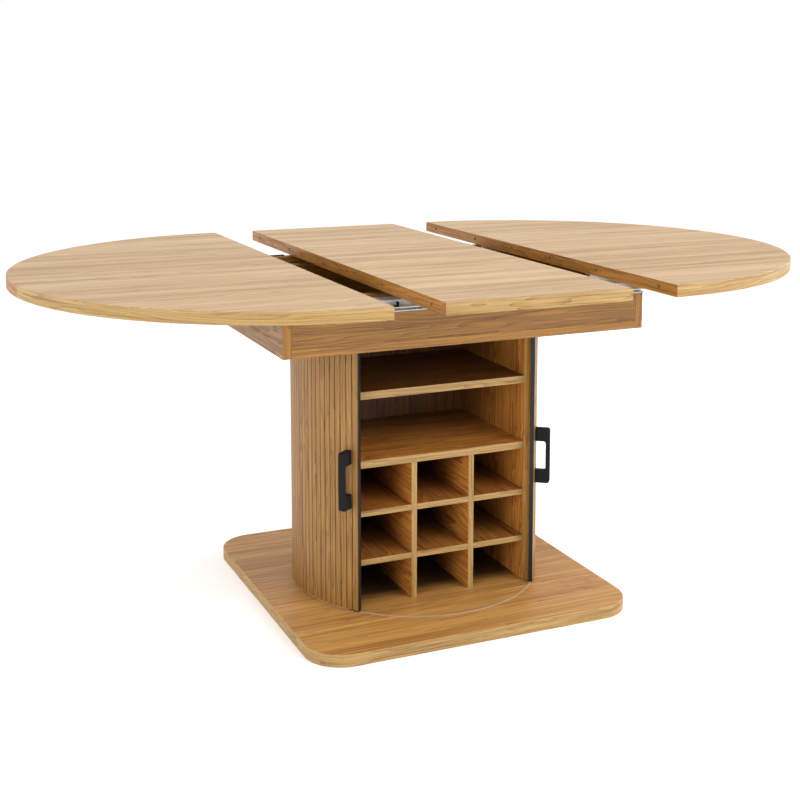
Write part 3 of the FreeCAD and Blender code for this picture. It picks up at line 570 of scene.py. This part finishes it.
def slat_tree():
    """Rounded slats round the column's axis, with a grain map that runs up each slat."""
    detail = bpy.context.scene.table_detail
    tree, put = new_tree("tambour_slats", [
        ("Count", "NodeSocketInt", SLAT_COUNT), ("Pitch", "NodeSocketFloat", SLAT_PITCH),
        ("First slat", "NodeSocketFloat", 0.0), ("Door edge", "NodeSocketFloat", 0.0),
        ("Bottom", "NodeSocketFloat", 0.0), ("Height", "NodeSocketFloat", 0.5),
        ("Inner face", "NodeSocketFloat", CANVAS_FACE), ("Outer face", "NodeSocketFloat", DOOR_FACE),
        ("Width", "NodeSocketFloat", detail.slat_width), ("Rounding", "NodeSocketFloat", detail.slat_round),
        ("Material", "NodeSocketMaterial", None)])
    thickness = add(tree, MATH, [put["Outer face"], put["Inner face"]], operation="SUBTRACT")
    middle = add(tree, MATH, [thickness, 0.5, put["Inner face"]], operation="MULTIPLY_ADD")
    outline = add(tree, "GeometryNodeCurvePrimitiveQuadrilateral",
                  {"Width": thickness, "Height": put["Width"]})
    rounded = add(tree, "GeometryNodeFilletCurve", {"Curve": outline, "Radius": put["Rounding"]},
                  mode="POLY")
    rounded.inputs["Count"].default_value = 3
    end = add(tree, "GeometryNodeFillCurve", {"Curve": rounded}, mode="NGONS")
    lift = add(tree, "ShaderNodeCombineXYZ", {"X": middle, "Z": put["Bottom"]})
    placed = add(tree, "GeometryNodeTransform", {"Geometry": end, "Translation": lift})
    reach = add(tree, "ShaderNodeCombineXYZ", {"Z": put["Height"]})
    raised = add(tree, "GeometryNodeExtrudeMesh", {"Mesh": placed, "Offset": reach, "Individual": False})
    floor = add(tree, "GeometryNodeFlipFaces", {"Mesh": placed})
    joined = add(tree, "GeometryNodeJoinGeometry")
    tree.links.new(raised.outputs["Mesh"], joined.inputs[0])
    tree.links.new(floor.outputs[0], joined.inputs[0])
    slat = add(tree, "GeometryNodeMergeByDistance", {"Geometry": joined, "Distance": WELD})
    points = add(tree, "GeometryNodePoints", {"Count": put["Count"]})
    number = add(tree, "GeometryNodeInputIndex")
    angle = add(tree, MATH, [number, put["Pitch"], put["First slat"]], operation="MULTIPLY_ADD")
    turned = add(tree, "ShaderNodeCombineXYZ", {"Z": angle})
    rotation = add(tree, "FunctionNodeEulerToRotation", {0: turned})
    row = add(tree, "GeometryNodeInstanceOnPoints",
              {"Points": points, "Instance": slat, "Rotation": rotation})
    real = add(tree, "GeometryNodeRealizeInstances", {"Geometry": row})
    place = add(tree, "ShaderNodeSeparateXYZ", {"Vector": add(tree, "GeometryNodeInputPosition")})
    # the way round is measured from -Y, so that it doesn't jump within a door
    ahead = add(tree, MATH, [place.outputs["Y"], -1.0], operation="MULTIPLY")
    swing = add(tree, MATH, [place.outputs["X"], ahead], operation="ARCTAN2")
    past_edge = add(tree, MATH, [swing, put["Door edge"]], operation="SUBTRACT")
    around = add(tree, MATH, [past_edge, put["Outer face"]], operation="MULTIPLY")
    # each slat is cut from another stretch of the plank, half a metre on
    slat_number = add(tree, MATH, [past_edge, put["Pitch"]], operation="DIVIDE")
    stretch = add(tree, MATH, [slat_number], operation="FLOOR")
    up = add(tree, MATH, [stretch, 0.5, place.outputs["Z"]], operation="MULTIPLY_ADD")
    grain = add(tree, "ShaderNodeCombineXYZ", {"X": up, "Y": around})
    mapped = add(tree, "GeometryNodeStoreNamedAttribute", {"Geometry": real, "Name": GRAIN},
                 data_type="FLOAT2", domain="CORNER")
    tree.links.new(grain.outputs[0], mapped.inputs["Value"])
    painted = add(tree, "GeometryNodeSetMaterial", {"Geometry": mapped, "Material": put["Material"]})
    add(tree, "NodeGroupOutput", {"Geometry": painted})
    return tree


def screw_tree():
    """Domed screw heads with a cross recess on the mesh's points, each facing along its aim attribute."""
    detail = bpy.context.scene.table_detail
    tree, put = new_tree("screw_heads", [("Diameter", "NodeSocketFloat", detail.screw_head),
                                         ("Material", "NodeSocketMaterial", None)])
    # the parts of a head, as shares of its diameter
    crown, radius, rise, arm, gap = (add(tree, MATH, [put["Diameter"], share], operation="MULTIPLY")
                                     for share in (0.32, 0.5, 0.26, 0.46, 0.11))
    head = add(tree, "GeometryNodeMeshCone", {"Vertices": 20, "Radius Top": crown, "Radius Bottom": radius,
                                              "Depth": rise})
    deep = add(tree, "ShaderNodeCombineXYZ", {"Z": rise})
    cut = add(tree, "GeometryNodeMeshBoolean", {"Mesh 1": head}, operation="DIFFERENCE")
    for long_side, short_side in (("X", "Y"), ("Y", "X")):
        size = add(tree, "ShaderNodeCombineXYZ", {long_side: arm, short_side: gap, "Z": rise})
        bar = add(tree, "GeometryNodeMeshCube", {"Size": size})
        cutter = add(tree, "GeometryNodeTransform", {"Geometry": bar, "Translation": deep})
        tree.links.new(cutter.outputs[0], cut.inputs["Mesh 2"])
    aim = add(tree, "GeometryNodeInputNamedAttribute", {"Name": "aim"}, data_type="FLOAT_VECTOR")
    facing = add(tree, "FunctionNodeAlignRotationToVector", {"Vector": aim}, axis="Z")
    heads = add(tree, "GeometryNodeInstanceOnPoints",
                {"Points": put["Geometry"], "Instance": cut, "Rotation": facing})
    real = add(tree, "GeometryNodeRealizeInstances", {"Geometry": heads})
    painted = add(tree, "GeometryNodeSetMaterial", {"Geometry": real, "Material": put["Material"]})
    add(tree, "NodeGroupOutput", {"Geometry": painted})
    return tree


def grow(name, mesh, tree, values):
    """The plain mesh object that a tree makes of a mesh, with inputs given by their names."""
    piece = bpy.data.objects.new(name, mesh)
    bpy.context.scene.collection.objects.link(piece)
    modifier = piece.modifiers.new("grow", "NODES")
    modifier.node_group = tree
    identifiers = {item.name: item.identifier
                   for item in tree.interface.items_tree if item.in_out == "INPUT"}
    for label, value in values.items():
        modifier[identifiers[label]] = value
    bpy.context.view_layer.update()
    evaluated = piece.evaluated_get(bpy.context.evaluated_depsgraph_get())
    grown = bpy.data.meshes.new_from_object(evaluated)
    grown.name = name
    piece.modifiers.clear()
    piece.data = grown
    return piece


def screw_heads(name, body, places, aim, diameter):
    """Screw heads at places on one body, all facing the same way."""
    mesh = bpy.data.meshes.new(name)
    mesh.from_pydata(places, [], [])
    attribute = mesh.attributes.new("aim", "FLOAT_VECTOR", "POINT")
    attribute.data.foreach_set("vector", [part for _ in places for part in aim])
    tree = bpy.data.node_groups.get("screw_heads") or screw_tree()
    piece = grow(name, mesh, tree, {"Diameter": diameter, "Material": bpy.data.materials["zinc_plate"]})
    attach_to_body(piece, body)
    return piece


# Operators -------------------------------------------------------------------------------------

X, Y, Z = range(3)


class TABLE_OT_tops(bpy.types.Operator):
    """Half discs and leaf panels in pale oak with edge bands, their dowels and seam hinges"""
    bl_idname = "table.tops"
    bl_label = "Table top"

    def execute(self, context):
        # the edges where the boards meet take the darker joint bands, painted shade for the narrow gaps
        # between them
        joints = (X, "oak_joint_band")
        for seed, (side, sign) in enumerate(SIDES.items(), start=1):
            dress_board(f"half_top_{side}", X, seed, "oak_veneer_top",
                        rim=(sign * CHORD, TOP_RADIUS, 3 * MM), own_band=joints)
        # the two panels of the leaf are cut from one sheet, so their veneer runs on across the seam
        for word in ("front", "rear"):
            dress_board(f"leaf_{word}_panel", X, 3, "oak_veneer_top", own_band=joints)
            dress_node(f"leaf_{word}_hinges", "satin_brass", 0.4 * MM)
        for node in ("half_top_dowels", "leaf_front_dowels", "leaf_rear_dowels"):
            dress_node(node, "beech", 1.2 * MM, segments=3)
        return {"FINISHED"}


class TABLE_OT_base(bpy.types.Operator):
    """Base plate, its glides and the lower guide ring"""
    bl_idname = "table.base"
    bl_label = "Base"

    def execute(self, context):
        # all round the plate the band's grain is measured as the way round a circle of its mean reach
        reach = high("base_plate").x * 1.15
        dress_board("base_plate", X, 5, "oak_veneer_base", rim=(0, reach, reach / 3))
        dress_node("base_glides", "moulded_abs", context.scene.table_detail.board_round)
        for node in ("floor_track", "ceiling_track"):
            dress_node(node, "anodised_aluminium", 0.3 * MM)
        return {"FINISHED"}


class TABLE_OT_cabinet(bpy.types.Operator):
    """Carcass, shelves and bottle rack in honey-coloured oak"""
    bl_idname = "table.cabinet"
    bl_label = "Cabinet"

    def execute(self, context):
        for seed, side in enumerate(SIDES, start=6):
            dress_board(f"{side}_side_panel", Z, seed, "oak_veneer_cabinet",
                        own_band=(Y, "oak_veneer_base"))
        # the back board and the top shelf take the copy of the cabinet oak a quarter as bright, and the
        # rack boards one six tenths as bright: painted shade for the deep of the column
        dress_board("back_panel", Z, 8, "oak_veneer_heartwood")
        boards = {"upper_shelf": (X, "heartwood"), "lower_shelf": (X, "cabinet"),
                  "rack_shelf_upper": (Y, "rack"), "rack_shelf_lower": (Y, "rack"),
                  "rack_divider_left": (Y, "divider"), "rack_divider_right": (Y, "divider")}
        for seed, (node, (grain, oak)) in enumerate(boards.items(), start=9):
            dress_board(node, grain, seed, "oak_veneer_" + oak)
        return {"FINISHED"}


class TABLE_OT_apron(bpy.types.Operator):
    """Apron box under the top, with its inner rails, rest rail and rest blocks"""
    bl_idname = "table.apron"
    bl_label = "Apron box"

    def execute(self, context):
        grains = {"apron_bottom_panel": X, "apron_side_left": Y, "apron_side_right": Y,
                  "apron_front_rail": X, "apron_back_rail": X, "inner_rail_front": X,
                  "inner_rail_back": X, "back_rest_rail": X, "inner_side_left": Y, "inner_side_right": Y}
        for seed, (node, grain) in enumerate(grains.items(), start=20):
            # eased wider, so that a fine groove shows where two boards meet
            dress_board(node, grain, seed, "oak_veneer_apron", band="oak_apron_band", ease=0.6 * MM)
        dress_node("leaf_rest_blocks", "moulded_rubber", 1 * MM)
        dress_node("back_rest_pads", "moulded_rubber", 0.5 * MM)
        return {"FINISHED"}


class TABLE_OT_slides(bpy.types.Operator):
    """Guide channels, runners, shoes and stop hooks"""
    bl_idname = "table.slides"
    bl_label = "Slides"

    def execute(self, context):
        width = context.scene.table_detail.metal_round
        for depth in ("front", "back"):
            dress_node(f"guide_channel_{depth}", "powder_coated_steel", width)
            for side in SIDES:
                dress_node(f"{side}_runner_{depth}", "powder_coated_steel", width)
        for side in SIDES:
            dress_node(f"{side}_runner_shoes", "moulded_abs", width)
        dress_node("slide_stops", "black_powder_coat", width)
        return {"FINISHED"}


class TABLE_OT_doors(bpy.types.Operator):
    """Tambour doors: rounded slats on canvas, black edge strips, nylon guides"""
    bl_idname = "table.doors"
    bl_label = "Tambour doors"

    def execute(self, context):
        tree = slat_tree()
        slats_edge = DOOR_LEAD + STRIP_ANGLE
        first = {"right": slats_edge + SLAT_PITCH / 2,
                 "left": -slats_edge - (SLAT_COUNT - 0.5) * SLAT_PITCH}
        for side, sign in SIDES.items():
            node = f"{side}_door_slats"
            bottom = low(node).z
            row = grow(node + "_finished", bpy.data.meshes.new("empty_row"), tree, {
                "First slat": first[side] - math.pi / 2, "Door edge": sign * slats_edge, "Bottom": bottom,
                "Height": high(node).z - bottom, "Material": bpy.data.materials["oak_slats"]})
            attach(row, f"{side}_door", [node])
            paint_node(f"{side}_door_canvas", "cotton_canvas")
            for edge in ("leading", "trailing"):
                dress_node(f"{side}_door_{edge}_strip", "moulded_abs", 0.3 * MM)
            dress_node(f"{side}_door_guides", "moulded_nylon", 0.2 * MM)
        return {"FINISHED"}


class TABLE_OT_handles(bpy.types.Operator):
    """Black D-shaped pulls with rounded edges"""
    bl_idname = "table.handles"
    bl_label = "Handles"

    def execute(self, context):
        width = context.scene.table_detail.handle_round
        for side in SIDES:
            dress_node(f"{side}_door_handle", "black_powder_coat", width, segments=3)
        return {"FINISHED"}


class TABLE_OT_screws(bpy.types.Operator):
    """Zinc-plated screw heads in the front channel, under the top, in the apron's floor and in the base"""
    bl_idname = "table.screws"
    bl_label = "Screws"

    def execute(self, context):
        diameter = context.scene.table_detail.screw_head
        up, down = (0, 0, 1), (0, 0, -1)
        # the steel that the channels and runners are bent from
        sheet = 2 * MM
        foot = low("guide_channel_front").z + sheet
        lip = 297 * MM
        places = [(x * MM, -lip, foot) for x in (-360, -120, 0, 120, 360)]
        screw_heads("channel_screws", "base", places, up, diameter)
        # a runner has three screws, on either side of its middle in turn
        underside = low("half_top_left").z - sheet
        middle, lean = 262, 12
        for side, sign in SIDES.items():
            places = [(sign * (CHORD + step * MM), depth * (middle + turn * lean) * MM, underside)
                      for depth in (-1, 1) for step, turn in ((44, -1), (169, 1), (294, -1))]
            screw_heads(f"{side}_runner_screws", f"{side}_top", places, down, diameter)
        wall = (low("right_side_panel").x + high("right_side_panel").x) / 2
        row = [(side * wall, y * MM) for side in (-1, 1) for y in (-110, 0, 110)]
        floor = high("apron_bottom_panel").z
        screw_heads("carcass_screws", "base", [(*place, floor) for place in row], up, diameter * 1.2)
        # these heads lie in counterbores, so little of them stands below the plate
        bottom = low("base_plate").z
        screw_heads("base_screws", "base", [(*place, bottom) for place in row], down, diameter * 0.4)
        return {"FINISHED"}


# soft disc lamps: place and width in metres, power in watts
LAMPS = {
    "overhead": ((0, 0.3, 3.6), 3.0, 60),
    "key": ((1.8, -3.2, 2.8), 2.4, 75),
    "front_left": ((-3.4, -2.6, 1.7), 2.0, 47),
    "front_right": ((3.0, -3.2, 1.7), 2.0, 46),
    "left": ((-4.2, 0.6, 1.7), 2.0, 30),
    "right": ((4.2, 0.3, 1.7), 2.0, 66),
}
LAMP_AIM = Vector((0, 0, 0.5))


class TABLE_OT_studio(bpy.types.Operator):
    """Pale floor, soft light all round and the camera"""
    bl_idname = "table.studio"
    bl_label = "Studio"

    def execute(self, context):
        self.make_floor()
        self.make_light(context.scene.studio)
        self.make_camera(context.scene.studio)
        context.scene.view_settings.view_transform = "Standard"
        return {"FINISHED"}

    def make_floor(self):
        """A round floor far wider than the table."""
        bm = bmesh.new()
        bmesh.ops.create_circle(bm, cap_ends=True, radius=40.0, segments=96)
        mesh = bpy.data.meshes.new("studio_floor")
        bm.to_mesh(mesh)
        bm.free()
        floor = bpy.data.objects.new("studio_floor", mesh)
        bpy.context.scene.collection.objects.link(floor)
        finish = bpy.context.scene.table_finish
        # opal acrylic, lit from below like a light table, so that only contact shadows show
        opal = speckled("opal_acrylic", finish.floor, 0.7, speck=2.0, strength=0.02, spread=0.02)
        opal.inputs["Emission Color"].default_value = (1.0, 1.0, 1.0, 1.0)
        opal.inputs["Emission Strength"].default_value = bpy.context.scene.studio.floor_light
        mesh.materials.append(bpy.data.materials["opal_acrylic"])

    def make_light(self, studio):
        """White walls, a dimmer ceiling and six soft lamps."""
        world = bpy.data.worlds.new("studio_surround")
        bpy.context.scene.world = world
        world.use_nodes = True
        tree = world.node_tree
        surround = tree.nodes["Background"]
        surround.inputs["Color"].default_value = (1.0, 1.0, 1.0, 1.0)
        # the walls turn into the ceiling between 12 and 27 degrees above level
        way = add(tree, "ShaderNodeTexCoord")
        height = add(tree, "ShaderNodeSeparateXYZ", {"Vector": way}).outputs["Z"]
        wall = add(tree, "ShaderNodeMapRange", {"Value": height, "From Min": 0.2, "From Max": 0.45,
                                                "To Min": studio.walls, "To Max": studio.ceiling})
        tree.links.new(wall.outputs[0], surround.inputs["Strength"])
        for name, (place, size, watts) in LAMPS.items():
            light = bpy.data.lights.new(name, "AREA")
            light.shape = "DISK"
            light.size = size
            light.energy = watts
            lamp = bpy.data.objects.new(name, light)
            bpy.context.scene.collection.objects.link(lamp)
            lamp.location = place
            lamp.rotation_euler = (LAMP_AIM - lamp.location).to_track_quat("-Z", "Y").to_euler()

    def make_camera(self, studio):
        """The camera at the front left, above the table and tilted a little down."""
        data = bpy.data.cameras.new("camera")
        camera = bpy.data.objects.new("camera", data)
        bpy.context.scene.collection.objects.link(camera)
        camera.location = studio.camera_place
        camera.rotation_euler = (math.pi / 2 - studio.camera_pitch, 0, -studio.camera_yaw)
        data.sensor_width = 36
        data.lens = studio.lens
        data.shift_y = studio.shift
        data.clip_end = 200
        bpy.context.scene.camera = camera


class TABLE_PT_panel(bpy.types.Panel):
    """Lists the pieces of the table"""
    bl_idname = "TABLE_PT_panel"
    bl_label = "Table"
    bl_space_type = "VIEW_3D"
    bl_region_type = "UI"
    bl_category = "Table"

    def draw(self, context):
        for operator in OPERATORS:
            self.layout.operator(operator.bl_idname)
        for group in (context.scene.table_finish, context.scene.table_detail, context.scene.studio):
            for name in group.__annotations__:
                self.layout.prop(group, name)


OPERATORS = (TABLE_OT_tops, TABLE_OT_base, TABLE_OT_cabinet, TABLE_OT_apron, TABLE_OT_slides,
             TABLE_OT_doors, TABLE_OT_handles, TABLE_OT_screws, TABLE_OT_studio)
GROUPS = {"table_finish": TableFinish, "table_detail": TableDetail, "studio": StudioSettings}


def register():
    """Registers the settings, the operators and the panel."""
    for name, group in GROUPS.items():
        bpy.utils.register_class(group)
        setattr(bpy.types.Scene, name, bpy.props.PointerProperty(type=group))
    for operator in (*OPERATORS, TABLE_PT_panel):
        bpy.utils.register_class(operator)


def unregister():
    """Takes back what register did."""
    for operator in reversed((*OPERATORS, TABLE_PT_panel)):
        bpy.utils.unregister_class(operator)
    for name, group in reversed(GROUPS.items()):
        delattr(bpy.types.Scene, name)
        bpy.utils.unregister_class(group)


def main():
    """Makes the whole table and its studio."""
    register()
    make_materials()
    for operator in OPERATORS:
        group, name = operator.bl_idname.split(".")
        getattr(getattr(bpy.ops, group), name)()


if __name__ == "__main__":
    main()
